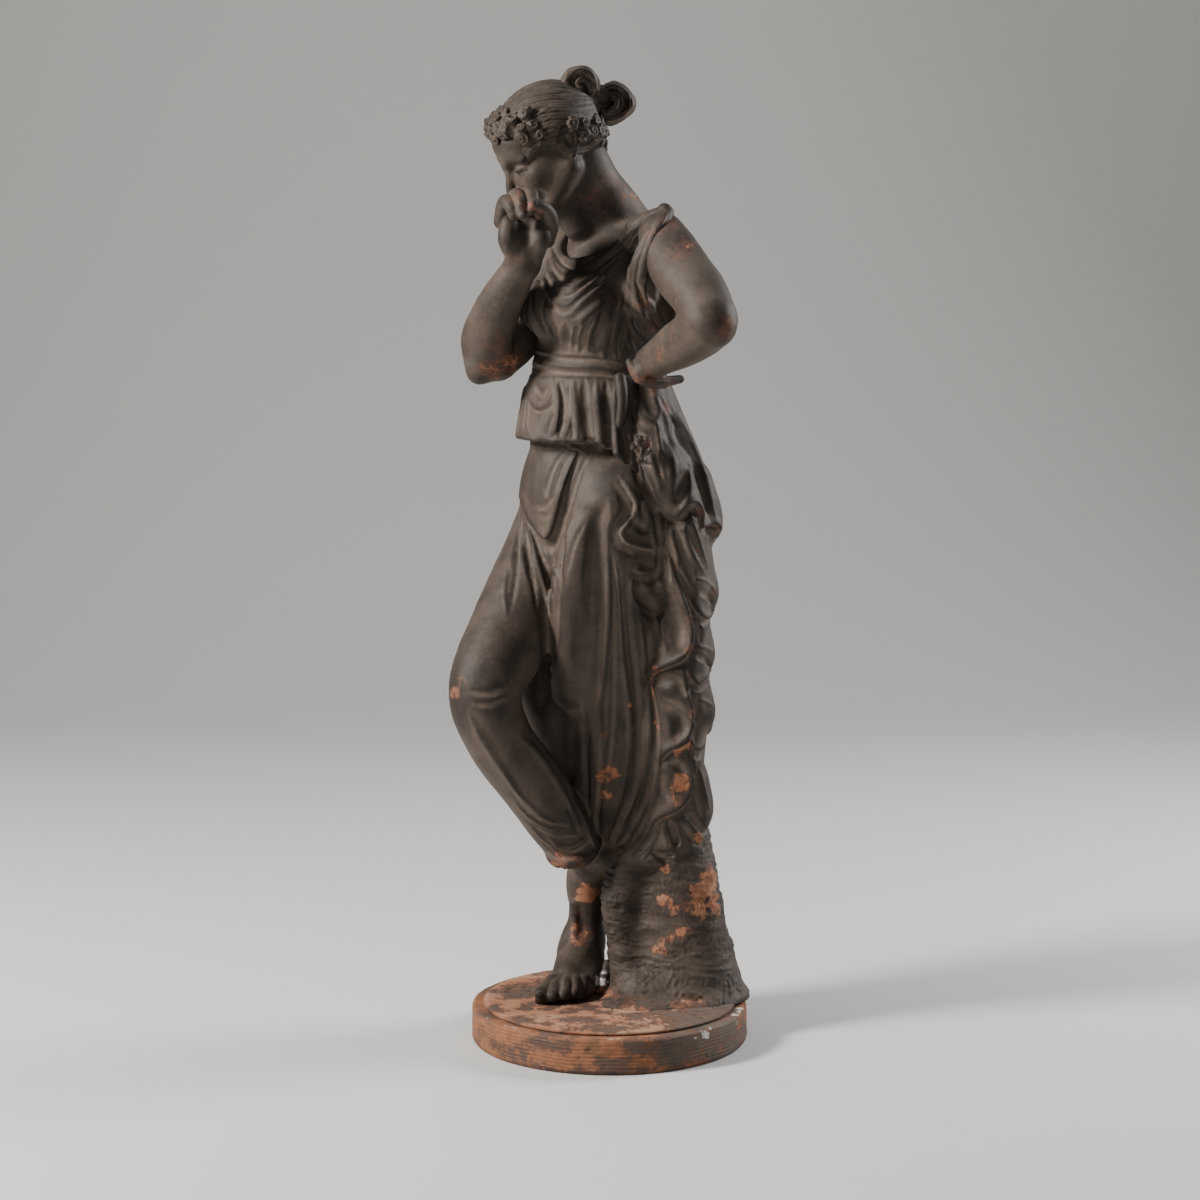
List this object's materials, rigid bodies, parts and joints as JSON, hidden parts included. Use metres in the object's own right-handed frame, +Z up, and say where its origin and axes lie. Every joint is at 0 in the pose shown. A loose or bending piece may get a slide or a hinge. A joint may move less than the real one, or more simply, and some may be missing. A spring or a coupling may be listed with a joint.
{
  "type": "terracotta dancer figurine",
  "caption": "Standing draped dancer in dark-painted terracotta, hand to mouth and other hand on hip, leaning on a trunk support on a round disc base.",
  "frame": {"origin": "centre of the underside of the round base", "axes": "+Z up, -Y toward the viewer in the pictured view, the dancer's chest turned toward -X"},
  "size_m": [0.2474, 0.2419, 0.8035],
  "materials": {
    "figure": "matt dark grey-brown paint over orange terracotta, worn through on the high edges",
    "base": "rough fired terracotta with remains of dark paint"
  },
  "bodies": {
    "root": {"dancer_figure": "figure", "round_base": "base"}
  },
  "joints": []
}
